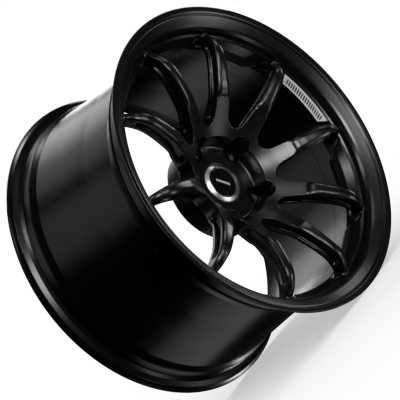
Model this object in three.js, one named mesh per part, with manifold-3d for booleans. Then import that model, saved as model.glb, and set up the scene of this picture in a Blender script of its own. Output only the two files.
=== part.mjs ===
// Forged motorsport wheel rim, 18 x 10.5 class, ten I-beam spokes and five lug pockets.
// Millimetres, +Z up. The wheel turns about +Y and its outer face looks along -Y.
// The origin is the wheel's centre. "depth" below is the distance behind the front lip's plane.
import * as THREE from 'three';
import { mergeVertices } from 'three/addons/utils/BufferGeometryUtils.js';
import Module from 'manifold-3d';

const wasm = await Module();
wasm.setup();

// ---- driving dimensions -------------------------------------------------------------
const RIM_RADIUS = 248.5;            // outer radius of both flanges
const RIM_WIDTH = 284.5;             // lip to lip
const HALF_WIDTH = RIM_WIDTH / 2;
const BEAD_SEAT_RADIUS = 231;        // 18 inch bead seat
const BEAD_SEAT_INNER = 229.8;       // five degree taper ends here
const SPOKE_COUNT = 10;
const LUG_COUNT = 5;
const LUG_CIRCLE_RADIUS = 57.15;     // 5 x 114.3
const LUG_HOLE_RADIUS = 7;
const LUG_SEAT_RADIUS = 11.5;
const LUG_SEAT_DEPTH = 99;
const LUG_POCKET_RADIUS = 14.5;
const LUG_POCKET_CENTRE = 59.5;
const MOUNT_DEPTH = 120.25;          // hub face, 22 mm outboard of the rim's centre plane
const MOUNT_PAD_RADIUS = 74;
const BORE_RADIUS = 36.55;           // 73.1 mm centre bore
const CAP_BORE_RADIUS = 28.4;
const CAP_SEAT_RADIUS = 31.9;
const CAP_SEAT_DEPTH = 88.6;
const FLOOR_DEPTH = 86;              // floor of the recess round the cap
const RING_INNER = { r: 64.3, depth: 61.5 };
const RING_OUTER = { r: 77, depth: 53.6 };
const SPOKE_DEPTH_AT_HUB = 30;       // front face to back face, along the axis
const SPOKE_DEPTH_AT_LIP = 23;
const GAP = 0.3;                     // left between neighbouring solids
const RING_STEPS = 60;
const HUB_STEPS = 40;

// ---- materials ----------------------------------------------------------------------
function finish(color, roughness, metalness) {
  return new THREE.MeshStandardMaterial({ color, roughness, metalness });
}

const SATIN_BLACK = () => finish(0x17181a, 0.42, 0.35);
const SILVER = () => finish(0xc9cbce, 0.28, 0.9);
const GLOSS_BLACK = () => finish(0x0c0c0d, 0.18, 0.0);
const BLACK_PLASTIC = () => finish(0x141415, 0.55, 0.0);
const WHITE_VINYL = () => finish(0xe8e8e6, 0.5, 0.0);
const BLACK_RUBBER = () => finish(0x101010, 0.85, 0.0);
const SPRING_STEEL = () => finish(0x8d9096, 0.35, 0.9);
const BRASS = () => finish(0xb08d4a, 0.35, 0.9);
const ANODISED = () => finish(0x2a2b2e, 0.35, 0.8);

// ---- geometry helpers ---------------------------------------------------------------
const part = new THREE.Group();

function plain(geometry) {
  const copy = geometry.clone();
  for (const name of Object.keys(copy.attributes)) {
    if (name !== 'position') copy.deleteAttribute(name);
  }
  return mergeVertices(copy, 1e-4);
}

function signedVolume(geometry) {
  const p = geometry.attributes.position;
  const index = geometry.index;
  const a = new THREE.Vector3();
  const b = new THREE.Vector3();
  const c = new THREE.Vector3();
  let sum = 0;
  for (let i = 0; i < index.count; i += 3) {
    a.fromBufferAttribute(p, index.getX(i));
    b.fromBufferAttribute(p, index.getX(i + 1));
    c.fromBufferAttribute(p, index.getX(i + 2));
    sum += a.dot(b.cross(c)) / 6;
  }
  return sum;
}

// Returns the geometry with its faces pointing out.
function outward(geometry) {
  if (signedVolume(geometry) > 0) return geometry;
  const index = geometry.index;
  for (let i = 0; i < index.count; i += 3) {
    const swap = index.getX(i);
    index.setX(i, index.getX(i + 2));
    index.setX(i + 2, swap);
  }
  return geometry;
}

function toManifold(geometry) {
  const g = outward(plain(geometry));
  return new wasm.Manifold(new wasm.Mesh({
    numProp: 3,
    vertProperties: new Float32Array(g.attributes.position.array),
    triVerts: new Uint32Array(g.index.array),
  }));
}

function fromManifold(solid) {
  const mesh = solid.getMesh();
  const geometry = new THREE.BufferGeometry();
  geometry.setAttribute('position', new THREE.BufferAttribute(mesh.vertProperties, 3));
  geometry.setIndex(new THREE.BufferAttribute(mesh.triVerts, 1));
  return geometry;
}

// Revolves a closed [radius, depth] outline about the wheel's axis.
function revolve(outline, steps) {
  const points = outline.map(([r, depth]) => new THREE.Vector2(r, depth - HALF_WIDTH));
  if (outline[0][0] > 0) points.push(points[0].clone());
  return outward(plain(new THREE.LatheGeometry(points, steps)));
}

// Joins rings of points, each a list of Vector3 of one length, into a closed solid.
function loft(rings) {
  const n = rings[0].length;
  const positions = [];
  const index = [];
  rings.forEach((ring) => ring.forEach((p) => positions.push(p.x, p.y, p.z)));
  for (let k = 0; k + 1 < rings.length; k += 1) {
    for (let i = 0; i < n; i += 1) {
      const j = (i + 1) % n;
      const a = k * n + i;
      const b = k * n + j;
      index.push(a, b, b + n, a, b + n, a + n);
    }
  }
  [0, rings.length - 1].forEach((k) => {
    const flat = rings[k].map((p) => new THREE.Vector2(p.x, p.y));
    const faces = THREE.ShapeUtils.triangulateShape(flat, []);
    faces.forEach(([a, b, c]) => {
      const base = k * n;
      if (k === 0) index.push(base + c, base + b, base + a);
      else index.push(base + a, base + b, base + c);
    });
  });
  const geometry = new THREE.BufferGeometry();
  geometry.setAttribute('position', new THREE.Float32BufferAttribute(positions, 3));
  geometry.setIndex(index);
  return outward(geometry);
}

// A cylinder or cone along the wheel's axis, between two depths, centred at (x, z).
function axialCone(rFront, rBack, front, back, x, z, steps) {
  const geometry = new THREE.CylinderGeometry(rBack, rFront, back - front, steps);
  geometry.translate(x, (front + back) / 2 - HALF_WIDTH, z);
  return geometry;
}

function add(name, geometry, material, parent = part) {
  const mesh = new THREE.Mesh(geometry, material);
  mesh.name = name;
  parent.add(mesh);
  return mesh;
}

function turned(x, z, degrees) {
  const a = THREE.MathUtils.degToRad(degrees);
  return [x * Math.cos(a) + z * Math.sin(a), -x * Math.sin(a) + z * Math.cos(a)];
}

// ---- rim: front flange with its spoke ring, well, rear flange ------------------------
const FRONT_SPLIT = 34;
const REAR_SPLIT = 246;

// Inside wall of the front flange, from the lip's face to the window edge.
// grow moves it inward, so that spokes can be cut to it with a gap.
function frontInnerWall(grow) {
  return [
    [241.2, 0.4], [240, 2.6], [236.4, 4.6], [225.2, 10.6], [214.6, 26.8], [213.4, 27.4],
  ].map(([r, depth]) => [r - grow, depth]);
}

function padCone(depth) {
  const outer = { r: 213.4, depth: 27.4 };
  const inner = { r: 203.5, depth: 40.6 };
  const t = (depth - outer.depth) / (inner.depth - outer.depth);
  return outer.r + t * (inner.r - outer.r);
}

const frontFlangeOutline = [
  ...frontInnerWall(0),
  [padCone(FRONT_SPLIT), FRONT_SPLIT],
  [BEAD_SEAT_INNER, FRONT_SPLIT],
  [BEAD_SEAT_RADIUS, 18],
  [236, 13.4],
  [243.4, 9],
  [246.2, 4],
  [RIM_RADIUS, 1.4],
  [247.6, 0],
  [242.2, 0],
];

const wellStart = FRONT_SPLIT + GAP;
const wellEnd = REAR_SPLIT - GAP;
const wellOutline = [
  [padCone(wellStart), wellStart],
  [203.5, 40.6],
  [203.3, 54],
  [206.5, 62],
  [211.5, 127],
  [216.5, 188],
  [223.5, wellEnd],
  [BEAD_SEAT_INNER, wellEnd],
  [225.6, 238],
  [221, 188],
  [216, 127],
  [213, 66],
  [215, 57],
  [230.6, 40],
  [BEAD_SEAT_INNER, wellStart],
];

const rearFlangeOutline = [
  [223.5, REAR_SPLIT],
  [223.7, 250],
  [230.3, RIM_WIDTH - 1.2],
  [231.5, RIM_WIDTH],
  [247.6, RIM_WIDTH],
  [RIM_RADIUS, RIM_WIDTH - 1.4],
  [246.2, RIM_WIDTH - 4],
  [243.4, RIM_WIDTH - 9],
  [236, RIM_WIDTH - 13.4],
  [BEAD_SEAT_RADIUS, RIM_WIDTH - 18],
  [BEAD_SEAT_INNER, REAR_SPLIT],
];

const rim = new THREE.Group();
part.add(rim);

// Pocket beside each spoke's outer end, cut out of the pad cone.
const POCKET_HALF_ANGLE = 4.6;
const POCKET_FLOOR_RADIUS = 212.6;
const POCKET_TOP_RADIUS = 196;
const POCKET_FRONT = 26;
const POCKET_BACK = 47;

function spokePocket(angle) {
  const half = THREE.MathUtils.degToRad(POCKET_HALF_ANGLE);
  const ring = (depth) => {
    const corners = [
      [-1, POCKET_TOP_RADIUS], [1, POCKET_TOP_RADIUS],
      [1, POCKET_FLOOR_RADIUS], [0, POCKET_FLOOR_RADIUS + 0.7], [-1, POCKET_FLOOR_RADIUS],
    ];
    return corners.map(([side, r]) => {
      const [x, z] = turned(r * Math.sin(side * half), r * Math.cos(half * Math.abs(side)), angle);
      return new THREE.Vector3(x, depth - HALF_WIDTH, z);
    });
  };
  return loftAxial([ring(POCKET_FRONT), ring(POCKET_BACK)]);
}

// As loft, for rings that lie square to the wheel's axis.
function loftAxial(rings) {
  const laid = rings.map((ring) => ring.map((p) => new THREE.Vector3(p.x, p.z, p.y)));
  const geometry = loft(laid);
  const p = geometry.attributes.position;
  for (let i = 0; i < p.count; i += 1) p.setXYZ(i, p.getX(i), p.getZ(i), p.getY(i));
  return outward(geometry);
}

const VALVE_ANGLE = 270;
const VALVE_DEPTH = 66;
const VALVE_HOLE_RADIUS = 5.65;
const VALVE_SEAT_INSIDE = 206.9;     // flat under the nut's washer
const VALVE_SEAT_OUTSIDE = 213.2;    // flat under the grommet's flange
const VALVE_SEAT_RADIUS = 10.5;

// A turned piece on the valve's axis. The outline is [radius, distance from the wheel's axis].
function valvePiece(outline, steps) {
  const points = outline.map(([r, along]) => new THREE.Vector2(r, along));
  if (outline[0][0] > 0) points.push(points[0].clone());
  const geometry = plain(new THREE.LatheGeometry(points, steps));
  geometry.rotateX(Math.PI / 2);
  geometry.rotateY(THREE.MathUtils.degToRad(VALVE_ANGLE));
  geometry.translate(0, VALVE_DEPTH - HALF_WIDTH, 0);
  return outward(geometry);
}

function buildRim() {
  let front = toManifold(revolve(frontFlangeOutline, RING_STEPS));
  let well = toManifold(revolve(wellOutline, RING_STEPS));
  for (let i = 0; i < SPOKE_COUNT; i += 1) {
    const pocket = toManifold(spokePocket(i * 360 / SPOKE_COUNT));
    front = front.subtract(pocket);
    well = well.subtract(pocket);
  }
  const below = VALVE_SEAT_INSIDE - 12;
  const above = VALVE_SEAT_OUTSIDE + 12;
  const drillings = [
    [VALVE_HOLE_RADIUS, below, above],
    [VALVE_SEAT_RADIUS, below, VALVE_SEAT_INSIDE],
    [VALVE_SEAT_RADIUS, VALVE_SEAT_OUTSIDE, above],
  ];
  drillings.forEach(([r, from, to]) => {
    const cutter = valvePiece([[0, from], [r, from], [r, to], [0, to]], 20);
    well = well.subtract(toManifold(cutter));
  });
  add('rim_front_flange', fromManifold(front), SATIN_BLACK(), rim);
  add('rim_well', fromManifold(well), SATIN_BLACK(), rim);
  add('rim_rear_flange', revolve(rearFlangeOutline, RING_STEPS), SATIN_BLACK(), rim);
}
buildRim();

// ---- spokes: I-beams that sweep forward to the lip ----------------------------------
// Each station is [radius, depth of the face, full width, corner chamfer].
const SPOKE_STATIONS = [
  [70, 58, 29, 0.4],
  [86, 47.6, 28, 0.4],
  [98, 39.2, 26.6, 0.4],
  [110, 30.6, 24.5, 0.4],
  [113, 28.4, 24, 4],
  [130, 18.4, 22, 4],
  [152, 10.4, 19.5, 4],
  [174, 6.2, 16.8, 4],
  [186, 6.6, 15.2, 3.6],
  [200, 10.6, 13.6, 3],
  [224, 21, 11, 2.4],
];
const FLANGE_THICKNESS = 4.6;
const BACK_FLANGE_THICKNESS = 7;
const WEB_SHARE = 0.5;

function spokeDepth(radius) {
  const share = THREE.MathUtils.smoothstep(radius, 100, 170);
  return THREE.MathUtils.lerp(SPOKE_DEPTH_AT_HUB, SPOKE_DEPTH_AT_LIP, share);
}

// Half of the I section, from the face's middle to the back's middle, as [across, depth].
function spokeSection([radius, face, width, chamfer]) {
  const half = width / 2;
  const web = half * WEB_SHARE;
  const lip = face + chamfer + FLANGE_THICKNESS - 2;
  const back = face + spokeDepth(radius);
  return [
    [half - chamfer, face],
    [half, face + chamfer],
    [half, lip + 1],
    [web, lip + 2.6],
    [web, back - BACK_FLANGE_THICKNESS - 1.4],
    [half - 0.6, back - BACK_FLANGE_THICKNESS],
    [half - 2.4, back],
  ];
}

function spokeBlank() {
  const rings = SPOKE_STATIONS.map((station) => {
    const right = spokeSection(station);
    const left = right.slice().reverse().map(([x, depth]) => [-x, depth]);
    return [...right, ...left].map(([x, depth]) => (
      new THREE.Vector3(x, depth - HALF_WIDTH, station[0])
    ));
  });
  return loft(rings);
}

// Everything outside the spoke's own space: the lip's wall and the hub's drum.
function spokeTrim(spoke) {
  const wall = [
    ...frontInnerWall(GAP),
    [POCKET_FLOOR_RADIUS - GAP, 29],
    [POCKET_FLOOR_RADIUS - GAP, 48],
    [203.3 - GAP, 48],
    [203.3 - GAP, 60],
    [260, 60],
    [260, 0.4],
  ];
  const drum = axialCone(RING_OUTER.r + GAP, RING_OUTER.r + GAP, 20, 110, 0, 0, HUB_STEPS * 2);
  return spoke.subtract(toManifold(revolve(wall, RING_STEPS))).subtract(toManifold(drum));
}

function buildSpokes() {
  const geometry = fromManifold(spokeTrim(toManifold(spokeBlank())));
  const spokes = new THREE.Group();
  part.add(spokes);
  for (let i = 0; i < SPOKE_COUNT; i += 1) {
    const name = `spoke_${String(i + 1).padStart(2, '0')}`;
    const spoke = add(name, geometry.clone(), SATIN_BLACK(), spokes);
    spoke.rotation.y = i * 2 * Math.PI / SPOKE_COUNT;
  }
}
buildSpokes();

// ---- hub: spoke ring, recess floor, lug pockets, mounting pad -------------------------
const hubOutline = [
  [CAP_BORE_RADIUS, CAP_SEAT_DEPTH],
  [CAP_SEAT_RADIUS, CAP_SEAT_DEPTH],
  [CAP_SEAT_RADIUS, FLOOR_DEPTH],
  [58.4, FLOOR_DEPTH],
  [61, 83],
  [RING_INNER.r, RING_INNER.depth],
  [RING_OUTER.r, RING_OUTER.depth],
  [RING_OUTER.r, RING_OUTER.depth + SPOKE_DEPTH_AT_LIP],
  [MOUNT_PAD_RADIUS, 100],
  [MOUNT_PAD_RADIUS, MOUNT_DEPTH],
  [BORE_RADIUS + 1.5, MOUNT_DEPTH],
  [BORE_RADIUS, MOUNT_DEPTH - 1.5],
  [BORE_RADIUS, 97],
  [CAP_BORE_RADIUS, 95],
];

// Angle of a solid's middle about the wheel's axis, from +Z towards +X, from 0 to a full turn.
function angleOf(geometry) {
  geometry.computeBoundingBox();
  const middle = geometry.boundingBox.getCenter(new THREE.Vector3());
  const angle = Math.atan2(middle.x, middle.z);
  return angle < 0 ? angle + 2 * Math.PI : angle;
}

// The hub is split at its lug holes, and at the recess floor, into ring and flange sectors.
function buildHub() {
  let hub = toManifold(revolve(hubOutline, HUB_STEPS));
  for (let i = 0; i < LUG_COUNT; i += 1) {
    const angle = i * 360 / LUG_COUNT;
    const [px, pz] = turned(0, LUG_POCKET_CENTRE, angle);
    const [x, z] = turned(0, LUG_CIRCLE_RADIUS, angle);
    const pocket = axialCone(LUG_POCKET_RADIUS, LUG_POCKET_RADIUS - 1, 40, LUG_SEAT_DEPTH, px, pz, 18);
    const seat = axialCone(LUG_SEAT_RADIUS, LUG_HOLE_RADIUS, LUG_SEAT_DEPTH - 0.2, 107, x, z, 16);
    const hole = axialCone(LUG_HOLE_RADIUS, LUG_HOLE_RADIUS, 106, 125, x, z, 16);
    const slit = new THREE.BoxGeometry(GAP, 2 * HALF_WIDTH, 100);
    slit.translate(0, 0, 50);
    slit.rotateY(THREE.MathUtils.degToRad(angle));
    [pocket, seat, hole, slit].forEach((cut) => {
      hub = hub.subtract(toManifold(cut));
    });
  }
  const layer = revolve([
    [57.5, FLOOR_DEPTH], [100, FLOOR_DEPTH], [100, FLOOR_DEPTH + GAP], [57.5, FLOOR_DEPTH + GAP],
  ], HUB_STEPS);
  const blocks = hub.subtract(toManifold(layer)).decompose().map(fromManifold);
  blocks.sort((a, b) => angleOf(a) - angleOf(b));
  const group = new THREE.Group();
  part.add(group);
  const counts = { hub_ring: 0, hub_flange: 0 };
  blocks.forEach((block) => {
    const kind = block.boundingBox.max.y < FLOOR_DEPTH + GAP - HALF_WIDTH ? 'hub_ring' : 'hub_flange';
    counts[kind] += 1;
    add(`${kind}_${counts[kind]}`, block, SATIN_BLACK(), group);
  });
}
buildHub();

// ---- centre cap: body with clips, silver ring, domed badge, spring ring --------------
const CAP_RADIUS = 31.4;
const BADGE_RADIUS = 24.2;
const CAP_CLIP_COUNT = 6;

function capBody() {
  let body = toManifold(revolve([
    [0, 84.9], [BADGE_RADIUS - 0.5, 84.9], [BADGE_RADIUS - 0.5, 86.2], [CAP_RADIUS - 0.6, 87.2],
    [CAP_RADIUS - 0.6, 88.3], [27.2, 88.3], [27.2, 97.4], [28, 97.4], [28, 99.4], [27, 101.4],
    [24.6, 101.4], [24.6, 88.4], [0, 88.4],
  ], 24));
  for (let i = 0; i < CAP_CLIP_COUNT; i += 1) {
    const slot = new THREE.BoxGeometry(7, 14, 9);
    slot.translate(0, 96.8 - HALF_WIDTH, 27);
    slot.rotateY((i + 0.5) * 2 * Math.PI / CAP_CLIP_COUNT);
    body = body.subtract(toManifold(slot));
  }
  return fromManifold(body);
}

function buildCap() {
  const cap = new THREE.Group();
  part.add(cap);
  add('cap_body', capBody(), BLACK_PLASTIC(), cap);
  add('cap_trim_ring', revolve([
    [BADGE_RADIUS, 83.6], [BADGE_RADIUS + 0.8, 83.3], [CAP_RADIUS - 0.5, 85.8], [CAP_RADIUS, 86.4],
    [CAP_RADIUS, 86.9], [BADGE_RADIUS, 85.9],
  ], 40), SILVER(), cap);
  add('cap_badge', revolve([
    [0, 82.9], [10, 83.0], [18, 83.4], [BADGE_RADIUS - 0.9, 84], [BADGE_RADIUS - 0.9, 84.6], [0, 84.6],
  ], 32), GLOSS_BLACK(), cap);
  const wire = new THREE.TorusGeometry(23.6, 0.7, 5, 24);
  wire.rotateX(Math.PI / 2);
  wire.translate(0, 98.4 - HALF_WIDTH, 0);
  add('cap_spring_ring', outward(plain(wire)), SPRING_STEEL(), cap);
}
buildCap();

// ---- vinyl sticker on the pad between two spokes -------------------------------------
const STICKER_ANGLE = 90;
const STICKER_HALF_ANGLE = 12;
const STICKER_LIFT = 0.35;
const STICKER_THICKNESS = 0.3;

function buildSticker() {
  const outline = [[padCone(29.4), 29.4], [padCone(38.6), 38.6]];
  const rings = [];
  for (let a = -STICKER_HALF_ANGLE; a <= STICKER_HALF_ANGLE; a += 360 / RING_STEPS) {
    const corners = [
      [outline[0][0] - STICKER_LIFT, outline[0][1]],
      [outline[1][0] - STICKER_LIFT, outline[1][1]],
      [outline[1][0] - STICKER_LIFT - STICKER_THICKNESS, outline[1][1]],
      [outline[0][0] - STICKER_LIFT - STICKER_THICKNESS, outline[0][1]],
    ];
    rings.push(corners.map(([r, depth]) => {
      const [x, z] = turned(0, r, a);
      return new THREE.Vector3(x, depth - HALF_WIDTH, z);
    }));
  }
  // The rings stand nearly square to X, so they are closed in the Y-Z plane.
  const laid = rings.map((ring) => ring.map((p) => new THREE.Vector3(p.z, p.y, p.x)));
  const geometry = loft(laid);
  const p = geometry.attributes.position;
  for (let i = 0; i < p.count; i += 1) p.setXYZ(i, p.getZ(i), p.getY(i), p.getX(i));
  const sticker = add('pad_sticker', outward(geometry), WHITE_VINYL());
  sticker.rotation.y = THREE.MathUtils.degToRad(STICKER_ANGLE);
}
buildSticker();

// ---- clamp-in valve, pointing at the wheel's centre -----------------------------------
const VALVE_TIP = 175;
const STEM_RADIUS = 4.4;
const WASHER_THICKNESS = 1.1;
const NUT_HEIGHT = 5.3;
const GROMMET_FLANGE = 1;

function coreSpring() {
  const turns = 4;
  const path = new THREE.Curve();
  path.getPoint = (t) => {
    const a = t * turns * 2 * Math.PI;
    return new THREE.Vector3(1.15 * Math.cos(a), 188.6 + 7 * t, 1.15 * Math.sin(a));
  };
  const section = new THREE.Shape();
  section.absarc(0, 0, 0.2, 0, 2 * Math.PI, false);
  const geometry = new THREE.ExtrudeGeometry(section, {
    steps: turns * 8, curveSegments: 3, extrudePath: path, bevelEnabled: false,
  });
  const wire = plain(geometry);
  wire.rotateX(Math.PI / 2);
  wire.rotateY(THREE.MathUtils.degToRad(VALVE_ANGLE));
  wire.translate(0, VALVE_DEPTH - HALF_WIDTH, 0);
  return outward(wire);
}

function valveNut() {
  const foot = VALVE_SEAT_INSIDE - WASHER_THICKNESS - 2 * GAP;
  const top = foot - NUT_HEIGHT;
  const hexagon = valvePiece([[0, top], [7.6, top], [8.4, top + 0.8], [8.4, foot], [0, foot]], 6);
  const r = STEM_RADIUS + GAP;
  const bore = valvePiece([[0, top - 1], [r, top - 1], [r, foot + 1], [0, foot + 1]], 20);
  return fromManifold(toManifold(hexagon).subtract(toManifold(bore)));
}

function buildValve() {
  const valve = new THREE.Group();
  part.add(valve);
  const sleeve = VALVE_HOLE_RADIUS - GAP;
  const bore = STEM_RADIUS + GAP;
  const sleeveStart = VALVE_SEAT_INSIDE + GAP;
  const flangeStart = VALVE_SEAT_OUTSIDE + GAP;
  const flangeEnd = flangeStart + GROMMET_FLANGE;
  const foot = flangeEnd + GAP;
  const washerEnd = VALVE_SEAT_INSIDE - GAP;
  const washerStart = washerEnd - WASHER_THICKNESS;
  add('valve_stem', valvePiece([
    [1.75, VALVE_TIP + 1], [3.6, VALVE_TIP + 1], [3.85, VALVE_TIP + 1.6], [3.85, 184], [STEM_RADIUS, 185],
    [STEM_RADIUS, foot], [8.6, foot], [9, foot + 0.4], [9, foot + 2.2], [2.6, foot + 3.2],
    [2.6, 200], [1.75, 199],
  ], 20), ANODISED(), valve);
  add('valve_grommet', valvePiece([
    [bore, sleeveStart], [sleeve, sleeveStart], [sleeve, flangeStart],
    [8.8, flangeStart], [8.8, flangeEnd], [bore, flangeEnd],
  ], 20), BLACK_RUBBER(), valve);
  add('valve_washer', valvePiece([
    [bore, washerStart], [9, washerStart], [9, washerEnd], [bore, washerEnd],
  ], 20), SPRING_STEEL(), valve);
  add('valve_nut', valveNut(), ANODISED(), valve);
  add('valve_core_body', valvePiece([
    [0.75, 178.4], [1.6, 178.4], [1.6, 198.6], [1.45, 198.8], [1.45, 186.6], [0.75, 186.4],
  ], 14), BRASS(), valve);
  add('valve_core_spring', coreSpring(), SPRING_STEEL(), valve);
  add('valve_core_pin', valvePiece([
    [0, 176.6], [0.5, 176.6], [0.5, 199.6], [1.9, 200.4], [1.9, 202], [0, 202.4],
  ], 12), BRASS(), valve);
  add('valve_cap_shell', valvePiece([
    [0, 171.4], [4.2, 171.4], [5, 172.2], [5, 183.6], [4.15, 183.6], [4.15, 173.6], [0, 173.6],
  ], 16), ANODISED(), valve);
  add('valve_cap_seal', valvePiece([
    [0, 173.9], [3.8, 173.9], [3.8, 175.6], [1.6, 175.6], [1.6, 175.2], [0, 175.2],
  ], 16), BLACK_RUBBER(), valve);
}
buildValve();

export default part;
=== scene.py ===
"""Looks for the forged wheel rim: its turned rim and rounded centre, cap, sticker and valve, in a studio.

Outlines are in millimetres. "depth" is the distance behind the front lip's plane, along +Y of the frame.
"""

import math

import bpy
import numpy as np
from mathutils import Matrix, Vector


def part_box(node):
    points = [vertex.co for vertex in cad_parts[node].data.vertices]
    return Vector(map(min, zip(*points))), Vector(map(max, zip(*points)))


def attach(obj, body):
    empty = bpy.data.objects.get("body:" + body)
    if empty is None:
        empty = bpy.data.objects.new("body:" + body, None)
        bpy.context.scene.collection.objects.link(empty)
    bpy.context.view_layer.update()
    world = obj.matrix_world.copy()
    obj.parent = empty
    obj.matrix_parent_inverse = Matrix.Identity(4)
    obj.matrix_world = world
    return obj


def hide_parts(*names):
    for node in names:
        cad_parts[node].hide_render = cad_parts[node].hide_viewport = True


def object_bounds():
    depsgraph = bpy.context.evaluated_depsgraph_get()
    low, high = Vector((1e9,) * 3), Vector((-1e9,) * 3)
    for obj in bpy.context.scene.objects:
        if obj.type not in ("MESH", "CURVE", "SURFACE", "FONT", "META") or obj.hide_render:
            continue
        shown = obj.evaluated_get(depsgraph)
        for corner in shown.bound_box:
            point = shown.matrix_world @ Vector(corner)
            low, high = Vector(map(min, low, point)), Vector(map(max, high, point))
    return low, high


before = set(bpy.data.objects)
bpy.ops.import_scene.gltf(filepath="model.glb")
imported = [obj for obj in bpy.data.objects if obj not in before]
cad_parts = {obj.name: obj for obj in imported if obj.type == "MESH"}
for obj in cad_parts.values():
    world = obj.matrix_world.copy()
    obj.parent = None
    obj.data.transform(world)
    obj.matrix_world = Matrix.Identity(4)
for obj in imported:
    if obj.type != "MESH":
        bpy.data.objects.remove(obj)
cad_box = [list(corner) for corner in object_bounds()]

MM = 0.001
RIM_WIDTH = (cad_box[1][1] - cad_box[0][1]) / MM
RIM_RADIUS = (cad_box[1][2] - cad_box[0][2]) / MM / 2
HALF_WIDTH = RIM_WIDTH / 2
FLOOR_HEIGHT = cad_box[0][2]

SPOKE_COUNT = 10
SECTOR = 2 * math.pi / SPOKE_COUNT
PAD_TURN = SECTOR / 2


# ---- curves and joins ---------------------------------------------------------------

def smooth_curve(points, step=0.1):
    """A function through the points that keeps their rises and falls, and its slope's cosine."""
    x = np.array([p[0] for p in points], float)
    y = np.array([p[1] for p in points], float)
    span = np.diff(x)
    slope = np.diff(y) / span
    tangent = np.zeros(len(x))
    tangent[0] = slope[0]
    tangent[-1] = slope[-1]
    same_way = slope[:-1] * slope[1:] > 0
    total = np.where(same_way, slope[:-1] + slope[1:], 1)
    tangent[1:-1] = np.where(same_way, 2 * slope[:-1] * slope[1:] / total, 0)
    fine = np.arange(x[0], x[-1] + step, step)
    k = np.clip(np.searchsorted(x, fine) - 1, 0, len(span) - 1)
    t = np.clip((fine - x[k]) / span[k], 0, 1)
    value = (
        (1 + 2 * t) * (1 - t) ** 2 * y[k]
        + t * (1 - t) ** 2 * span[k] * tangent[k]
        + t * t * (3 - 2 * t) * y[k + 1]
        - t * t * (1 - t) * span[k] * tangent[k + 1]
    )
    cosine = 1 / np.hypot(1, np.gradient(value, fine))
    return (lambda v: np.interp(v, fine, value)), (lambda v: np.interp(v, fine, cosine))


def broken_line(points):
    """As smooth_curve, for straight stretches."""
    x = [p[0] for p in points]
    y = [p[1] for p in points]
    slopes = np.diff(y) / np.diff(x)
    cosines = 1 / np.hypot(1, slopes)

    def cosine(v):
        return cosines[np.clip(np.searchsorted(x, v) - 1, 0, len(cosines) - 1)]

    return (lambda v: np.interp(v, x, y)), cosine


def round_union(a, b, radius):
    """Joins two distance fields with a fillet."""
    corner = np.hypot(np.maximum(radius - a, 0), np.maximum(radius - b, 0))
    return np.maximum(radius, np.minimum(a, b)) - corner


def round_common(a, b, radius):
    """Keeps what two distance fields share, with rounded edges."""
    corner = np.hypot(np.maximum(radius + a, 0), np.maximum(radius + b, 0))
    return np.minimum(-radius, np.maximum(a, b)) + corner


# ---- the forging's centre: hub, spokes, pads and the lip's inner wall ------------------

FACE, FACE_COSINE = smooth_curve([
    (26, 85), (64.3, 61.5), (77, 53.4), (88, 46.3), (100, 38), (110, 30.8), (113, 28.4), (116, 25.3),
    (120, 22.2), (130, 17.5), (140, 14.3), (150, 11.2), (160, 8.6), (170, 6.7), (177, 6), (185, 6.4),
    (192, 8), (200, 11), (206, 14.8), (211, 19.2), (216, 25), (222, 33), (240, 60),
])
HALF_SPOKE, _ = smooth_curve([
    (20, 15), (78, 14.2), (98, 13.3), (110, 12.4), (130, 11.1), (152, 9.8),
    (174, 8.4), (186, 7.5), (200, 6.4), (217, 5), (240, 4.6),
])
CHAMFER_ACROSS, _ = broken_line([(20, 0.01), (109, 0.01), (115, 4.6), (140, 4.4), (180, 3.8), (217, 2.6)])
CHAMFER_DOWN, _ = broken_line([(20, 1), (109, 1), (115, 3.4), (140, 3.1), (160, 2.3), (180, 1.6), (217, 2.4)])
SPOKE_DEPTH, _ = smooth_curve([(20, 30), (100, 30), (150, 28.5), (185, 27), (240, 24)])
STEP_RADIUS = 111
HUB_CHAMFER = 0.5
TOP_FLANGE = 4.4
BACK_FLANGE = 7.6
WEB_SHARE = 0.52
POCKET_START = 93
POCKET_END = 196
POCKET_FILLET = 3
POCKET_END_FILLET = 5
WINDOW_FILLET = 14
FACE_EDGE = 1.2
CHAMFER_EDGE = 1.6
BACK_EDGE = 3.2
POCKET_EDGE = 1.1

HUB_RADIUS = 78
DRUM_RADIUS = 74
DRUM_BACK = 120.25
DRUM_EDGE = 1.5
DRUM_FILLET = 6
DRUM_BEHIND_FACE = 7
RECESS_WALL, _ = broken_line([(40, 72), (61.5, 64.3), (83, 61.2), (120, 61)])
RECESS_FLOOR = 86
RECESS_FILLET = 3.5
RECESS_EDGE = 0.9
CAP_SEAT = (31.9, 88.6)
CAP_BORE_RADIUS = 28.4
BORE_RADIUS = 36.55
BORE_STEP = 97
LUG_POCKET_RADIUS = 14.5
LUG_POCKET_CENTRE = 59.5
LUG_POCKET_FILLET = 1.2
LUG_POCKET_EDGE = 0.8
LUG_CIRCLE_RADIUS = 57.15
LUG_SEAT_DEPTH = 99
LUG_SEAT_RADIUS = 11.5
LUG_SEAT_SLOPE = math.radians(30)
LUG_HOLE_RADIUS = 7

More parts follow.
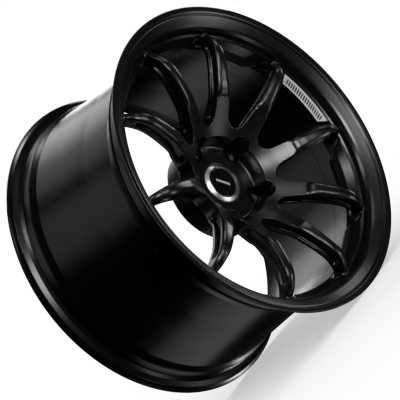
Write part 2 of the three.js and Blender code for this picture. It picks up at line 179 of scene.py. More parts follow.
CREASE = (225.2, 10.6)
SKIN_END = 84
HUB_LIMIT = 120
SPOKE_END_FILLET = ((16, 26, 44), (2.5, 4, 12))
SKIN_OUTSIDE = ((34, 46, 60, SKIN_END), (228.5, 219, 210.5, 211.5))
WALL, WALL_COSINE = broken_line([
    (0, 231.5), (10.6, 225.2), (13.4, 221.6), (18, 218.4), (24.7, 215.9), (27, 213), (27.6, 214.3),
    (28.6, 214.1), (30, 212.9), (45, 212.6), (53, 206.3), (58.5, 206.5), (127, 211.5),
])
PAD, PAD_COSINE = broken_line([
    (28.1, 212.9), (39.8, 204.1), (52, 202.4), (60, 206.6), (66, 209.6), (127, 214),
])
PAD_HALF_TURN = math.radians(14.1)
PAD_TAPER = math.radians(0.2)
PAD_FRONT = 28.1
PAD_EDGE = 3.2
PAD_FILLET = 1.4
PAD_END_SLOPE = 0.8


def spoke_plan(r, turn):
    """Distance to the spokes' outline seen from the front, in millimetres."""
    other = SECTOR - turn
    first = r * np.sin(turn) - HALF_SPOKE(r * np.cos(turn))
    second = r * np.sin(other) - HALF_SPOKE(r * np.cos(other))
    plan = round_union(first, second, WINDOW_FILLET)
    return round_union(plan, r - HUB_RADIUS, WINDOW_FILLET)


def spoke_field(r, turn, depth):
    """The ten spokes and the ring they grow from."""
    face = FACE(r)
    cosine = FACE_COSINE(r)
    plan = spoke_plan(r, turn)
    front = (face - depth) * cosine
    deepest = face + SPOKE_DEPTH(r)
    back = (depth - deepest) * cosine
    across = CHAMFER_ACROSS(r)
    down = CHAMFER_DOWN(r)
    chamfer = (down * (plan + across) - across * (depth - face)) / np.hypot(across, down)
    body = round_common(plan, front, FACE_EDGE)
    body = round_common(body, chamfer, CHAMFER_EDGE)
    body = round_common(body, back, BACK_EDGE)
    top = face + np.where(r > STEP_RADIUS, down, HUB_CHAMFER) + TOP_FLANGE
    bottom = deepest - BACK_FLANGE
    inset = WEB_SHARE * HALF_SPOKE(r)
    pocket = round_common(-(plan + inset), (top - depth) * cosine, POCKET_FILLET)
    pocket = round_common(pocket, (depth - bottom) * cosine, POCKET_FILLET)
    pocket = round_common(pocket, POCKET_START - r, POCKET_END_FILLET)
    pocket = round_common(pocket, r - POCKET_END, POCKET_END_FILLET)
    return round_common(body, -pocket, POCKET_EDGE)


def hub_cuts(r, turn, depth):
    """Recess round the cap, cap seat, bore, and the lug pockets with their seats and holes."""
    across = r * np.sin(turn)
    along = r * np.cos(turn)
    recess = round_common(r - RECESS_WALL(depth), depth - RECESS_FLOOR, RECESS_FILLET)
    seat = np.maximum(r - CAP_SEAT[0], depth - CAP_SEAT[1])
    bore = np.minimum(r - CAP_BORE_RADIUS, np.maximum(r - BORE_RADIUS, BORE_STEP - depth))
    pocket_r = np.hypot(across, along - LUG_POCKET_CENTRE)
    pocket = round_common(pocket_r - LUG_POCKET_RADIUS, depth - LUG_SEAT_DEPTH, LUG_POCKET_FILLET)
    hole_r = np.hypot(across, along - LUG_CIRCLE_RADIUS)
    cone_r = LUG_SEAT_RADIUS - (depth - LUG_SEAT_DEPTH) * math.tan(LUG_SEAT_SLOPE)
    cone = np.maximum((hole_r - cone_r) * math.cos(LUG_SEAT_SLOPE), LUG_SEAT_DEPTH - 1 - depth)
    hole = hole_r - LUG_HOLE_RADIUS
    cut = round_union(recess, pocket, LUG_POCKET_EDGE)
    for other in (seat, bore, cone, hole):
        cut = np.minimum(cut, other)
    return cut


def ring_field(r, turn, depth):
    """The lip's inner wall with the ten raised pads, down to where the turned barrel takes over."""
    wall = (WALL(depth) - r) * WALL_COSINE(depth)
    half_turn = PAD_HALF_TURN - PAD_TAPER * np.maximum(depth - PAD_FRONT, 0)
    ends = (np.abs(turn - PAD_TURN) - half_turn) * r * PAD_END_SLOPE
    pad = round_common((PAD(depth) - r) * PAD_COSINE(depth), ends, PAD_EDGE)
    pad = np.maximum(pad, PAD_FRONT - depth)
    ring = round_union(wall, pad, PAD_FILLET)
    ring = np.maximum(ring, CREASE[1] - depth)
    return np.maximum(ring, depth - SKIN_END)


def forging_field(x, z, depth):
    """Distance to the forging's skin, below zero inside the metal."""
    r = np.hypot(x, z)
    turn = np.abs(np.arctan2(x, z))
    turn = np.where(turn > SECTOR, 2 * SECTOR - turn, turn)
    drum = round_common(r - DRUM_RADIUS, depth - DRUM_BACK, DRUM_EDGE)
    drum = np.maximum(drum, FACE(r) + DRUM_BEHIND_FACE - depth)
    body = round_union(spoke_field(r, turn, depth), drum, DRUM_FILLET)
    body = round_common(body, -hub_cuts(r, turn, depth), RECESS_EDGE)
    fillet = np.interp(depth, *SPOKE_END_FILLET)
    body = round_union(body, ring_field(r, turn, depth), fillet)
    body = np.maximum(body, depth - np.where(r > HUB_LIMIT, SKIN_END, RIM_WIDTH))
    return np.maximum(body, r - np.interp(depth, *SKIN_OUTSIDE))


# ---- dual contouring of one sector, copied round the axis ------------------------------

def grid_lines(*stretches):
    """Rising grid lines from (end, step) stretches. The first pair is (start, unused)."""
    lines = [np.array([stretches[0][0]], float)]
    for (start, _), (end, step) in zip(stretches, stretches[1:]):
        count = max(1, round((end - start) / step))
        lines.append(np.linspace(start, end, count + 1)[1:])
    return np.concatenate(lines)


R_LINES = grid_lines((27, 0), (60, 1.1), (206, 1.2), (229.5, 0.9))
TURN_LINES = np.linspace(0, SECTOR, 52)
DEPTH_LINES = grid_lines((3.5, 0), (12, 0.9), (24, 1.1), (29, 0.6), (60, 1.15), (90, 1.3), (121.5, 1.6))
HALVINGS = 14
STAY_NEAR_MEAN = 0.06


def gradient(field, x, z, depth, reach=0.04):
    """The field's steepest direction, as unit vectors (x, z, depth)."""
    g = np.stack([
        field(x + reach, z, depth) - field(x - reach, z, depth),
        field(x, z + reach, depth) - field(x, z - reach, depth),
        field(x, z, depth + reach) - field(x, z, depth - reach),
    ], axis=1)
    return g / np.maximum(np.linalg.norm(g, axis=1, keepdims=True), 1e-9)


def cartesian(cell):
    """(radius, turn, depth) rows as x, z and depth."""
    return cell[:, 0] * np.sin(cell[:, 1]), cell[:, 0] * np.cos(cell[:, 1]), cell[:, 2]


def find_crossings(field, lines, inside):
    """Where grid edges pierce the skin: edge index, axis, point and normal."""
    found = []
    for axis in range(3):
        low = [slice(None)] * 3
        high = [slice(None)] * 3
        low[axis] = slice(None, -1)
        high[axis] = slice(1, None)
        index = np.argwhere(inside[tuple(low)] != inside[tuple(high)])
        near = np.stack([lines[k][index[:, k]] for k in range(3)], axis=1)
        far = near.copy()
        far[:, axis] = lines[axis][index[:, axis] + 1]
        starts_inside = inside[tuple(index.T)]
        for _ in range(HALVINGS):
            middle = (near + far) / 2
            same = (field(*cartesian(middle)) < 0) == starts_inside
            near = np.where(same[:, None], middle, near)
            far = np.where(same[:, None], far, middle)
        x, z, depth = cartesian((near + far) / 2)
        normal = gradient(field, x, z, depth)
        found.append((axis, index, np.stack([x, z, depth], axis=1), normal))
    return found


def place_vertices(found, lines):
    """One vertex in each cell that the skin passes through, where its planes meet best."""
    cells = [len(line) - 1 for line in lines]
    total = cells[0] * cells[1] * cells[2]
    ids = []
    points = []
    normals = []
    for axis, index, point, normal in found:
        others = [k for k in range(3) if k != axis]
        for a in (0, -1):
            for b in (0, -1):
                cell = index.copy()
                cell[:, others[0]] += a
                cell[:, others[1]] += b
                good = np.all((cell >= 0) & (cell < cells), axis=1)
                ids.append(np.ravel_multi_index(cell[good].T, cells))
                points.append(point[good])
                normals.append(normal[good])
    ids = np.concatenate(ids)
    points = np.concatenate(points)
    normals = np.concatenate(normals)

    used, slot = np.unique(ids, return_inverse=True)
    count = np.bincount(slot).astype(float)
    mean = np.stack([np.bincount(slot, points[:, k]) for k in range(3)], axis=1) / count[:, None]
    offset = np.sum(normals * (points - mean[slot]), axis=1)
    matrix = np.empty((len(used), 3, 3))
    right = np.empty((len(used), 3))
    for i in range(3):
        right[:, i] = np.bincount(slot, normals[:, i] * offset)
        for j in range(3):
            matrix[:, i, j] = np.bincount(slot, normals[:, i] * normals[:, j])
    matrix += STAY_NEAR_MEAN * np.eye(3)
    vertex = mean + np.linalg.solve(matrix, right[:, :, None])[:, :, 0]

    corner = np.stack(np.unravel_index(used, cells), axis=1)
    r = np.hypot(vertex[:, 0], vertex[:, 1])
    turn = np.arctan2(vertex[:, 0], vertex[:, 1])
    held = [
        np.clip(value, lines[k][corner[:, k]], lines[k][corner[:, k] + 1])
        for k, value in enumerate((r, turn, vertex[:, 2]))
    ]
    lookup = np.full(total, -1)
    lookup[used] = np.arange(len(used))
    return np.stack(cartesian(np.stack(held, axis=1)), axis=1), lookup.reshape(cells)


def sector_quads(found, lookup, lines):
    """Quads as (vertex, neighbour sector) pairs, and whether each lies on the sector's edge."""
    cells = [len(line) - 1 for line in lines]
    corners = []
    shifts = []
    edge = []
    for axis, index, point, normal in found:
        others = [k for k in range(3) if k != axis]
        quad = []
        shift = []
        for a, b in ((-1, -1), (0, -1), (0, 0), (-1, 0)):
            cell = index.copy()
            cell[:, others[0]] += a
            cell[:, others[1]] += b
            beside = np.where(cell[:, 1] < 0, -1, np.where(cell[:, 1] >= cells[1], 1, 0))
            cell[:, 1] = np.clip(cell[:, 1], 0, cells[1] - 1)
            quad.append(lookup[tuple(cell.T)])
            shift.append(beside)
        quad = np.stack(quad, axis=1)
        shift = np.stack(shift, axis=1)
        leaves_metal = np.sum(normal * axis_direction(axis, point), axis=1) > 0
        flip = leaves_metal == (axis == 1)
        quad[flip] = quad[flip][:, ::-1]
        shift[flip] = shift[flip][:, ::-1]
        corners.append(quad)
        shifts.append(shift)
        edge.append(np.any(shift != 0, axis=1))
    return np.concatenate(corners), np.concatenate(shifts), np.concatenate(edge)


def axis_direction(axis, point):
    """Which way a grid axis runs at a point, as (x, z, depth)."""
    r = np.maximum(np.hypot(point[:, 0], point[:, 1]), 1e-9)
    sine = point[:, 0] / r
    cosine = point[:, 1] / r
    zero = np.zeros(len(r))
    if axis == 0:
        return np.stack([sine, cosine, zero], axis=1)
    if axis == 1:
        return np.stack([cosine, -sine, zero], axis=1)
    return np.stack([zero, zero, zero + 1], axis=1)


def whole_wheel(vertices, quads, shifts, on_edge):
    """Copies the sector round the axis: even copies are turned, odd ones mirrored first."""
    count = len(vertices)
    all_vertices = []
    all_quads = []
    for s in range(SPOKE_COUNT):
        mirrored = s % 2 == 1
        angle = (s + 1 if mirrored else s) * SECTOR
        x = -vertices[:, 0] if mirrored else vertices[:, 0]
        z = vertices[:, 1]
        turned_x = x * math.cos(angle) + z * math.sin(angle)
        turned_z = -x * math.sin(angle) + z * math.cos(angle)
        all_vertices.append(np.stack([turned_x, vertices[:, 2] - HALF_WIDTH, turned_z], axis=1))
        if mirrored:
            all_quads.append(quads[~on_edge][:, ::-1] + s * count)
        else:
            all_quads.append(quads + (s + shifts) % SPOKE_COUNT * count)
    return np.concatenate(all_vertices), np.concatenate(all_quads)


def build_centre():
    """Vertices and quads of the hub, spokes, pads and inner wall."""
    lines = [R_LINES, TURN_LINES, DEPTH_LINES]
    r, turn, depth = np.meshgrid(*lines, indexing="ij")
    inside = forging_field(r * np.sin(turn), r * np.cos(turn), depth) < 0
    found = find_crossings(forging_field, lines, inside)
    vertices, lookup = place_vertices(found, lines)
    quads, shifts, on_edge = sector_quads(found, lookup, lines)
    return whole_wheel(vertices, quads, shifts, on_edge)


# ---- meshes ---------------------------------------------------------------------------

def mesh_object(name, vertices, faces, material):
    """A smooth-shaded object from millimetre vertices along the frame's axes."""
    mesh = bpy.data.meshes.new(name)
    mesh.from_pydata((np.asarray(vertices) * MM).tolist(), [], np.asarray(faces).tolist())
    mesh.materials.append(material)
    mesh.shade_smooth()
    mesh.update()
    item = bpy.data.objects.new(name, mesh)
    bpy.context.scene.collection.objects.link(item)
    return item


def rounded(corners, arc_steps=5):
    """A closed [radius, depth] outline with each corner (r, depth, fillet) turned into an arc."""
    points = []
    count = len(corners)
    for k, (r, depth, fillet) in enumerate(corners):
        here = np.array([r, depth], float)
        if not fillet:
            points.append(here)
            continue
        before = np.array(corners[k - 1][:2], float) - here
        after = np.array(corners[(k + 1) % count][:2], float) - here
        reach_before = np.linalg.norm(before)
        reach_after = np.linalg.norm(after)
        before /= reach_before
        after /= reach_after
        half = math.acos(np.clip(before @ after, -1, 1)) / 2
        cut = min(fillet / math.tan(half), 0.48 * reach_before, 0.48 * reach_after)
        radius = cut * math.tan(half)
        middle = (before + after) / np.linalg.norm(before + after)
        centre = here + middle * radius / math.sin(half)
        first = here + before * cut - centre
        last = here + after * cut - centre
        sweep = math.pi - 2 * half
        side = math.copysign(1, first[0] * last[1] - first[1] * last[0])
        for step in range(arc_steps + 1):
            a = side * sweep * step / arc_steps
            points.append(centre + [
                first[0] * math.cos(a) - first[1] * math.sin(a),
                first[0] * math.sin(a) + first[1] * math.cos(a),
            ])
    return np.array(points)


def twice_area(outline):
    """Twice an outline's area, negative when it runs the other way round."""
    ahead = np.roll(outline, -1, axis=0)
    return np.sum(outline[:, 0] * ahead[:, 1] - ahead[:, 0] * outline[:, 1])


def turned_quads(steps, count):
    """Quads between neighbouring copies of a closed outline of count points."""
    step, point = np.meshgrid(np.arange(steps), np.arange(count), indexing="ij")
    following = (point + 1) % count
    ahead = (step + 1) % steps
    return np.stack([
        step * count + point, ahead * count + point, ahead * count + following, step * count + following,
    ], axis=2).reshape(-1, 4)


SHARP_ANGLE = math.radians(32)


def revolve(name, outline, material, steps):
    """Turns a closed [radius, depth] outline about the wheel's axis."""
    outline = np.asarray(outline, float)
    if twice_area(outline) < 0:
        outline = outline[::-1]
    count = len(outline)
    turns = np.arange(steps) * 2 * math.pi / steps
    x = np.sin(turns)[:, None] * outline[None, :, 0]
    z = np.cos(turns)[:, None] * outline[None, :, 0]
    y = np.broadcast_to(outline[None, :, 1] - HALF_WIDTH, x.shape)
    vertices = np.stack([x, y, z], axis=2).reshape(-1, 3)
    item = mesh_object(name, vertices, turned_quads(steps, count), material)
    item.data.set_sharp_from_angle(angle=SHARP_ANGLE)
    return item


# ---- materials --------------------------------------------------------------------------

def new_material(name, color, roughness, metallic=0.0):
    """A material with one shader, as (material, node tree, shader)."""
    material = bpy.data.materials.new(name)
    material.use_nodes = True
    shader = material.node_tree.nodes["Principled BSDF"]
    shader.inputs["Base Color"].default_value = (*color, 1)
    shader.inputs["Roughness"].default_value = roughness
    shader.inputs["Metallic"].default_value = metallic
    return material, material.node_tree, shader


def object_point(tree):
    return tree.nodes.new("ShaderNodeTexCoord").outputs["Object"]


def noise(tree, scale, detail=2.0):
    """Cloudy values round 0.5, scale patches to the metre."""
    node = tree.nodes.new("ShaderNodeTexNoise")
    node.inputs["Scale"].default_value = scale
    node.inputs["Detail"].default_value = detail
    tree.links.new(object_point(tree), node.inputs["Vector"])
    return node.outputs["Fac"]


def spread(tree, value, low, high, start=0.3, end=0.7):
    """Values from start to end become values from low to high."""
    node = tree.nodes.new("ShaderNodeMapRange")
    node.inputs["From Min"].default_value = start
    node.inputs["From Max"].default_value = end
    node.inputs["To Min"].default_value = low
    node.inputs["To Max"].default_value = high
    tree.links.new(value, node.inputs["Value"])
    return node.outputs["Result"]


def blend_colours(tree, share, first, second):
    """A colour from first to second as share goes from 0 to 1. Either may be a link or three numbers."""
    node = tree.nodes.new("ShaderNodeMix")
    node.data_type = "RGBA"
    tree.links.new(share, node.inputs["Factor"])
    for socket, color in ((node.inputs[6], first), (node.inputs[7], second)):
        if isinstance(color, tuple):
            socket.default_value = (*color, 1)
        else:
            tree.links.new(color, socket)
    return node.outputs[2]


def calculate(tree, operation, first, second=0.0):
    """One step of arithmetic. Either operand may be a link or a number."""
    node = tree.nodes.new("ShaderNodeMath")
    node.operation = operation
    for socket, value in zip(node.inputs, (first, second)):
        if isinstance(value, (int, float)):
            socket.default_value = value
        else:
            tree.links.new(value, socket)
    return node.outputs["Value"]


def add_bump(tree, shader, height, distance):
    """Relief in which a height of 1 stands distance metres proud."""
    node = tree.nodes.new("ShaderNodeBump")
    node.inputs["Strength"].default_value = 1.0
    node.inputs["Distance"].default_value = distance
    tree.links.new(height, node.inputs["Height"])
    tree.links.new(node.outputs["Normal"], shader.inputs["Normal"])


def weathered(name, dark, light, gloss, metallic=0.0, patches=18.0, grain=1500.0, grain_height=0.00003):
    """A surface with cloudy colour, roughness from gloss[0] to gloss[1] and a fine grain."""
    material, tree, shader = new_material(name, light, gloss[0], metallic)
    cloud = noise(tree, patches, 4.0)
    tree.links.new(blend_colours(tree, spread(tree, cloud, 0, 1), dark, light), shader.inputs["Base Color"])
    tree.links.new(spread(tree, noise(tree, patches * 2.7, 5.0), *gloss), shader.inputs["Roughness"])
    add_bump(tree, shader, noise(tree, grain, 2.0), grain_height)
    return material, tree, shader


def satin_paint():
    """Satin black powder coat with a fine orange peel."""
    return weathered(
        "satin_black_paint", (0.0027, 0.0027, 0.0029), (0.0036, 0.0036, 0.0038), (0.23, 0.275),
        patches=9, grain=900, grain_height=0.00002,
    )[0]


def split_point(tree):
    """The object's own x, y and z, in metres."""
    node = tree.nodes.new("ShaderNodeSeparateXYZ")
    tree.links.new(object_point(tree), node.inputs["Vector"])
    return node.outputs["X"], node.outputs["Y"], node.outputs["Z"]


def radius_across(tree):
    """Distance from the wheel's axis, in metres."""
    x, _, z = split_point(tree)
    squares = calculate(tree, "ADD", calculate(tree, "MULTIPLY", x, x), calculate(tree, "MULTIPLY", z, z))
    return calculate(tree, "SQRT", squares)


TURNING_PITCH = 0.35
BAR_LEAN = 0.5
BADGE_LEAN = math.radians(52)
STICKER_MIDDLE_DEPTH = 34.0


def turned_silver():
    """Satin silver with the faint rings that turning leaves."""
    material, tree, shader = weathered(
        "satin_silver", (0.66, 0.66, 0.67), (0.78, 0.78, 0.79), (0.27, 0.31), metallic=1.0, patches=25,
        grain=500, grain_height=0.000001,
    )
    turns = calculate(tree, "MULTIPLY", radius_across(tree), 2 * math.pi / (TURNING_PITCH * MM))
    rings = calculate(tree, "SINE", turns)
    add_bump(tree, shader, rings, 0.0000003)
    return material


def stripes(tree, along, across, pitch, share, half_length, half_height):
    """1 on a row of slanted bars, 0 elsewhere. along and across are metres from the row's middle."""
    slanted = calculate(tree, "ADD", along, calculate(tree, "MULTIPLY", across, BAR_LEAN))
    phase = calculate(tree, "FRACT", calculate(tree, "DIVIDE", slanted, pitch))
    mask = calculate(tree, "LESS_THAN", phase, share)
    for value, limit in ((along, half_length), (across, half_height)):
        near = calculate(tree, "LESS_THAN", calculate(tree, "ABSOLUTE", value), limit)
        mask = calculate(tree, "MULTIPLY", mask, near)
    return mask


def sticker_vinyl():
    """White film printed with a plain row of slanted dark bars."""
    material, tree, shader = weathered(
        "white_vinyl", (0.74, 0.74, 0.73), (0.84, 0.84, 0.83), (0.34, 0.46), patches=70, grain=1200,
        grain_height=0.00001,
    )
    _, y, z = split_point(tree)
    across = calculate(tree, "SUBTRACT", y, (STICKER_MIDDLE_DEPTH - HALF_WIDTH) * MM)
    bars = stripes(tree, z, across, 4.4 * MM, 0.56, 39.5 * MM, 2.9 * MM)
    film = shader.inputs["Base Color"].links[0].from_socket
    tree.links.new(blend_colours(tree, bars, film, (0.012, 0.012, 0.012)), shader.inputs["Base Color"])
    return material


def badge_gloss():
    """Gloss black with a small generic mark, a row of pale slanted bars."""
    material, tree, shader = weathered(
        "gloss_black_badge", (0.0030, 0.0030, 0.0032), (0.0050, 0.0050, 0.0052), (0.10, 0.17),
        patches=90, grain=400, grain_height=0.000004,
    )
    x, _, z = split_point(tree)
    x_cosine = calculate(tree, "MULTIPLY", x, math.cos(BADGE_LEAN))
    x_sine = calculate(tree, "MULTIPLY", x, math.sin(BADGE_LEAN))
    z_cosine = calculate(tree, "MULTIPLY", z, math.cos(BADGE_LEAN))
    z_sine = calculate(tree, "MULTIPLY", z, math.sin(BADGE_LEAN))
    along = calculate(tree, "SUBTRACT", x_cosine, z_sine)
    across = calculate(tree, "ADD", x_sine, z_cosine)
    bars = stripes(tree, along, across, 4.2 * MM, 0.66, 12.6 * MM, 1.9 * MM)
    black = shader.inputs["Base Color"].links[0].from_socket
    tree.links.new(blend_colours(tree, bars, black, (0.62, 0.62, 0.61)), shader.inputs["Base Color"])
    return material


def moulded_plastic():
    return weathered("black_plastic", (0.006, 0.006, 0.006), (0.010, 0.010, 0.010), (0.42, 0.58),
                     patches=40, grain=2600, grain_height=0.00004)[0]


def seal_rubber():
    return weathered("black_rubber", (0.008, 0.008, 0.008), (0.014, 0.014, 0.013), (0.62, 0.82),
                     patches=60, grain=3200, grain_height=0.00006)[0]


def drawn_steel():
    return weathered("spring_steel", (0.40, 0.41, 0.42), (0.56, 0.57, 0.58), (0.22, 0.38), metallic=1.0,
                     patches=120, grain=4000, grain_height=0.00001)[0]


def turned_brass():
    return weathered("brass", (0.50, 0.36, 0.15), (0.66, 0.50, 0.24), (0.20, 0.36), metallic=1.0,
                     patches=150, grain=4000, grain_height=0.00001)[0]


def anodised():
    return weathered("black_anodised", (0.012, 0.012, 0.013), (0.022, 0.022, 0.024), (0.28, 0.40),
                     metallic=0.8, patches=90, grain=3000, grain_height=0.00001)[0]


paint = satin_paint()
silver = turned_silver()
badge_black = badge_gloss()
plastic = moulded_plastic()
vinyl = sticker_vinyl()
rubber = seal_rubber()
steel = drawn_steel()
brass = turned_brass()
black_alloy = anodised()

# ---- the turned rim ---------------------------------------------------------------------

SEAM = 0.5
LIP_FRONT = [
    (*CREASE, 0), (236.0, 4.5, 0.5), (237.4, 4.9, 0.4), (239.8, 2.5, 0.6), (241.4, 1.9, 0.3),
    (242.3, 0, 0.5), (RIM_RADIUS, 0, 1.1), (RIM_RADIUS, 1.4, 1),
]
FRONT_BEAD_SEAT = [
    (246.2, 4, 2), (243.4, 9, 3), (236, 13.4, 5), (231, 18, 3),
    (229.8, 34, 2), (231, 37.5, 2), (229.5, 41, 2),
]
WELL_OUTSIDE = [(215, 57, 8), (213.2, 68, 8), (216, 127, 30), (221, 188, 30), (225.8, 238, 6)]
REAR_BEAD_SEAT = [
    (229.8, RIM_WIDTH - 38, 2), (231, RIM_WIDTH - 35, 2), (229.8, RIM_WIDTH - 32, 2),
    (231, RIM_WIDTH - 18, 3), (236, RIM_WIDTH - 13.4, 5), (243.4, RIM_WIDTH - 9, 3),
    (246.2, RIM_WIDTH - 4, 2),
]
LIP_REAR = [(RIM_RADIUS, RIM_WIDTH - 1.4, 1), (RIM_RADIUS, RIM_WIDTH, 1.1), (230.3, RIM_WIDTH, 1.6)]
WELL_INSIDE = [(223.7, 250, 2), (216.5, 188, 30), (211.5, 127, 30), (WALL(SKIN_END), SKIN_END, 0)]
UNDER_THE_SKIN = [
    (WALL(SKIN_END) + SEAM, SKIN_END, 0), (WALL(60) + SEAM + 0.4, 60, 0), (214.5, 46, 0), (214.5, 27, 0),
    (218.2, 23, 0), (225.7, 11.4, 0),
]
rim_outline = rounded(
    LIP_FRONT + FRONT_BEAD_SEAT + WELL_OUTSIDE + REAR_BEAD_SEAT + LIP_REAR + WELL_INSIDE + UNDER_THE_SKIN
)
rim = revolve("rim_barrel", rim_outline, paint, 480)
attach(rim, "wheel")
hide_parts("rim_front_flange", "rim_well", "rim_rear_flange")

centre_vertices, centre_quads = build_centre()
centre = mesh_object("forged_centre", centre_vertices, centre_quads, paint)
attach(centre, "wheel")
for sector in range(1, SPOKE_COUNT // 2 + 1):
    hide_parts(f"hub_ring_{sector}", f"hub_flange_{sector}")
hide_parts(*[f"spoke_{i:02d}" for i in range(1, SPOKE_COUNT + 1)])

# ---- centre cap -------------------------------------------------------------------------

AXIS = 0.02
trim = revolve("trim_ring_turned", rounded([
    (24.2, 83.9, 0.1), (24.5, 83.35, 0.12), (25.1, 83.3, 0.2), (30.4, 85.5, 0.5),
    (31.3, 86.3, 0.3), (31.3, 86.9, 0.1), (24.2, 85.9, 0),
], 4), silver, 256)
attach(trim, "centre_cap")
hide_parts("cap_trim_ring")

badge = revolve("badge_dome", rounded([
    (AXIS, 82.95, 0), (8, 82.98, 6), (16, 83.3, 8), (22.4, 83.85, 1),
    (23.3, 84.2, 0.3), (23.3, 84.6, 0), (AXIS, 84.6, 0),
]), badge_black, 192)
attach(badge, "centre_cap")
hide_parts("cap_badge")

# ---- pad sticker ------------------------------------------------------------------------

STICKER_FRONT = 28.9
STICKER_BACK = 39.2
STICKER_LIFT = 0.12
STICKER_THICKNESS = 0.25
STICKER_MARGIN = math.radians(0.8)


def sticker_sheet(turn_steps=60, depth_steps=8):
    """A thin closed film on the pad's cone at a quarter turn, its ends cut along the pad's ends."""
    layers = []
    for lift in (STICKER_LIFT, STICKER_LIFT + STICKER_THICKNESS):
        depth = np.linspace(STICKER_FRONT, STICKER_BACK, depth_steps + 1)
        half_turn = PAD_HALF_TURN - PAD_TAPER * (depth - PAD_FRONT) - STICKER_MARGIN
        share = np.linspace(-1, 1, turn_steps + 1)
        turn = math.pi / 2 + share[:, None] * half_turn[None, :]
        r = (PAD(depth) - lift)[None, :] + 0 * turn
        y = (depth - HALF_WIDTH - 0.5 * lift)[None, :] + 0 * turn
        layers.append(np.stack([r * np.sin(turn), y, r * np.cos(turn)], axis=2).reshape(-1, 3))
    rows = turn_steps + 1
    columns = depth_steps + 1
    layer = rows * columns
    faces = []
    for i in range(turn_steps):
        for j in range(depth_steps):
            a = i * columns + j
            faces.append((a, a + 1, a + columns + 1, a + columns))
            faces.append((layer + a, layer + a + columns, layer + a + columns + 1, layer + a + 1))
    edge = [i * columns for i in range(rows)]
    edge += [(rows - 1) * columns + j for j in range(1, columns)]
    edge += [i * columns + columns - 1 for i in range(rows - 2, -1, -1)]
    edge += list(range(columns - 2, 0, -1))
    for a, b in zip(edge, edge[1:] + edge[:1]):
        faces.append((a, b, layer + b, layer + a))
    return np.concatenate(layers), faces


sticker = mesh_object("sticker_film", *sticker_sheet(), vinyl)
sticker.data.set_sharp_from_angle(angle=math.radians(40))
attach(sticker, "wheel")
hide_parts("pad_sticker")

# ---- valve ------------------------------------------------------------------------------

stem_low, stem_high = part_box("valve_stem")
VALVE_DEPTH = (stem_low[1] + stem_high[1]) / 2 / MM + HALF_WIDTH
STEM_TIP = -stem_high[0] / MM
STEM_FOOT = -stem_low[0] / MM
cap_low, cap_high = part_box("valve_cap_shell")
CAP_TIP = -cap_high[0] / MM
CAP_SKIRT = -cap_low[0] / MM


RIB_DEPTH = 0.12


def threads(radius, start, end, pitch, height):
    """Outline points of a thread's ridges, as rings, from start to end along the stem."""
    points = []
    for k in range(int((end - start) / pitch)):
        points += [(radius - height, start + k * pitch), (radius, start + (k + 0.5) * pitch)]
    return points


def turn_on_valve(name, outline, material, steps, ribs=0, rib_from=0.0):
    """Turns a closed [radius, distance from the wheel's axis] outline about the valve's axis.

    Points further out than rib_from are cut into ribs.
    """
    outline = np.asarray(outline, float)
    if twice_area(outline) > 0:
        outline = outline[::-1]
    count = len(outline)
    turns = np.arange(steps) * 2 * math.pi / steps
    ribbed = np.where(outline[:, 0] > rib_from, RIB_DEPTH if ribs else 0, 0)
    r = outline[None, :, 0] - ribbed[None, :] * (1 + np.cos(ribs * turns))[:, None]
    x = np.broadcast_to(-outline[None, :, 1], r.shape)
    y = VALVE_DEPTH - HALF_WIDTH + r * np.sin(turns)[:, None]
    z = r * np.cos(turns)[:, None]
    vertices = np.stack([x, y, z], axis=2).reshape(-1, 3)
    item = mesh_object(name, vertices, turned_quads(steps, count), material)
    item.data.set_sharp_from_angle(angle=SHARP_ANGLE)
    return item


stem = turn_on_valve("stem_threaded", [
    (1.75, STEM_TIP), (3.3, STEM_TIP), *threads(3.85, STEM_TIP + 0.5, 184, 0.8, 0.35),
    (3.5, 184.2), (4.3, 185), *threads(4.4, 186, 206, 1.0, 0.4), (4.4, 206.4),
    (4.4, STEM_FOOT - 3.2), (8.6, STEM_FOOT - 3.2), (9, STEM_FOOT - 2.8), (9, STEM_FOOT - 1.4),
    (8.6, STEM_FOOT - 1), (2.6, STEM_FOOT), (2.6, 200), (1.75, 199),
], black_alloy, 72)
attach(stem, "wheel")
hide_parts("valve_stem")

dust_cap = turn_on_valve("dust_cap_knurled", [
    (AXIS, CAP_TIP), (3.6, CAP_TIP), (4.4, CAP_TIP + 0.3), (4.9, CAP_TIP + 1), (5, CAP_TIP + 2),
    (5, CAP_SKIRT - 1.6), (4.6, CAP_SKIRT - 1.3), (4.6, CAP_SKIRT - 0.2), (4.45, CAP_SKIRT),
    (4.15, CAP_SKIRT), (4.15, 173.6), (AXIS, 173.6),
], black_alloy, 144, 24, 4.95)
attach(dust_cap, "valve_cap")
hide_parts("valve_cap_shell")

# ---- CAD pieces that stay, each with its finish -------------------------------------------

KEPT = {
    "cap_body": plastic,
    "cap_spring_ring": steel,
    "valve_grommet": rubber,
    "valve_washer": steel,
    "valve_nut": black_alloy,
    "valve_core_body": brass,
    "valve_core_spring": steel,
    "valve_core_pin": brass,
    "valve_cap_seal": rubber,
}
for node, material in KEPT.items():
    for material_slot in bpy.data.objects[node].material_slots:
        material_slot.link = "OBJECT"
        material_slot.material = material

# ---- studio -----------------------------------------------------------------------------

CAMERA_PLACE = (-2.3837, -2.2222, 0.2715)
CAMERA_AZIMUTH = math.radians(47.012)
CAMERA_ELEVATION = math.radians(-4.755)
CAMERA_ROLL = math.radians(-42.605)
CAMERA_LENS = 198.5
LIGHT_DISTANCE = 3.0
FLOOR_SIZE = 24
FLOOR_GAP = 0.0005


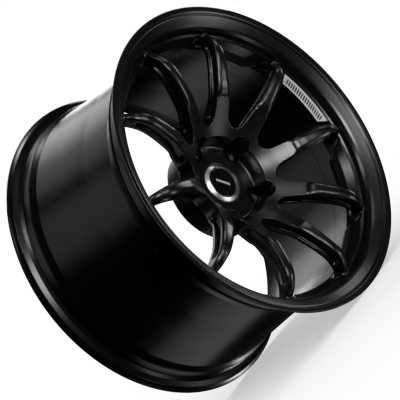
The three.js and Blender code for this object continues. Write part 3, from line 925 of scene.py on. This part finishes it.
def add_camera():
    """The photograph's viewing angle, rolled as the photograph is."""
    data = bpy.data.cameras.new("camera")
    data.sensor_width = 36
    data.lens = CAMERA_LENS
    camera = bpy.data.objects.new("camera", data)
    bpy.context.scene.collection.objects.link(camera)
    heading = Matrix.Rotation(-CAMERA_AZIMUTH, 4, "Z")
    pitch = Matrix.Rotation(math.pi / 2 + CAMERA_ELEVATION, 4, "X")
    roll = Matrix.Rotation(CAMERA_ROLL, 4, "Z")
    camera.matrix_world = Matrix.Translation(CAMERA_PLACE) @ heading @ pitch @ roll
    bpy.context.scene.camera = camera


def add_softbox(name, direction, size, power, lit):
    """A round soft light that looks at the wheel's centre from a direction and lights only one group."""
    data = bpy.data.lights.new(name, "AREA")
    data.shape = "DISK"
    data.size = size
    data.energy = power
    light = bpy.data.objects.new(name, data)
    bpy.context.scene.collection.objects.link(light)
    toward = Vector(direction).normalized()
    light.location = toward * LIGHT_DISTANCE
    light.rotation_euler = (-toward).to_track_quat("-Z", "Y").to_euler()
    light.light_linking.receiver_collection = lit
    return light


def add_floor():
    """A pale floor just under the wheel's lips, of which only the wheel's shadow shows."""
    bpy.ops.mesh.primitive_plane_add(size=FLOOR_SIZE, location=(0, 0, FLOOR_HEIGHT - FLOOR_GAP))
    floor = bpy.context.object
    floor.name = "floor"
    material, _, _ = new_material("floor", (0.9, 0.9, 0.9), 0.9)
    floor.data.materials.append(material)
    floor.is_shadow_catcher = True
    floor.visible_shadow = False
    floor.visible_glossy = False
    floor.visible_diffuse = False
    return floor


def link_group(name, floor, state):
    """What a light reaches: the floor alone for INCLUDE, everything but the floor for EXCLUDE."""
    group = bpy.data.collections.new(name)
    group.objects.link(floor)
    group.collection_objects[0].light_linking.link_state = state
    return group


def add_world():
    """White to the camera only, so that the softboxes alone light the paint."""
    world = bpy.data.worlds.new("world")
    bpy.context.scene.world = world
    world.use_nodes = True
    background = world.node_tree.nodes["Background"]
    background.inputs["Color"].default_value = (1, 1, 1, 1)
    background.inputs["Strength"].default_value = 1.0
    world.cycles_visibility.diffuse = False
    world.cycles_visibility.glossy = False


add_camera()
the_floor = add_floor()
add_world()
floor_only = link_group("floor_only", the_floor, "INCLUDE")
wheel_only = link_group("wheel_only", the_floor, "EXCLUDE")
add_softbox("above_floor", (0, 0, 1), 12, 60, floor_only)
# The fill casts no shadow, so it makes the wheel's shadow on the floor paler.
floor_fill = add_softbox("floor_fill", (0, 0, 1), 12, 150, floor_only)
floor_fill.data.use_shadow = False
WHEEL_LIGHTS = [
    ("key", (-0.30, -0.91, 0.27), 0.9, 34),
    ("front_middle", (0.14, -0.98, 0.10), 1.0, 15),
    ("front_low", (0.44, -0.78, -0.44), 0.7, 9),
    ("front_bottom", (0.30, -0.58, -0.75), 1.2, 5),
    ("front_top", (0.25, -0.75, 0.60), 0.8, 4),
    ("front_right", (0.80, -0.47, 0.36), 0.8, 4.5),
    ("side", (0.98, -0.17, -0.06), 0.7, 5.5),
    ("front_left_top", (-0.42, -0.54, 0.73), 0.6, 9),
    ("front_left_low", (-0.32, -0.44, -0.84), 0.7, 2.5),
    ("top", (0.40, 0.18, 0.90), 0.8, 13),
    ("bottom", (0.50, 0.32, -0.80), 0.7, 9),
    ("rear_top", (0.10, 0.68, 0.72), 1.5, 3.5),
    ("rear_left_top", (-0.50, 0.66, 0.55), 1.8, 3.5),
    ("rear_right", (0.44, 0.69, 0.57), 1.3, 8),
    ("rear_side", (0.70, 0.69, 0.17), 1.1, 10),
    ("rear_low", (-0.10, 0.69, -0.72), 1.9, 4.5),
]
for light in WHEEL_LIGHTS:
    add_softbox(*light, wheel_only)
bpy.context.scene.view_settings.view_transform = "Standard"
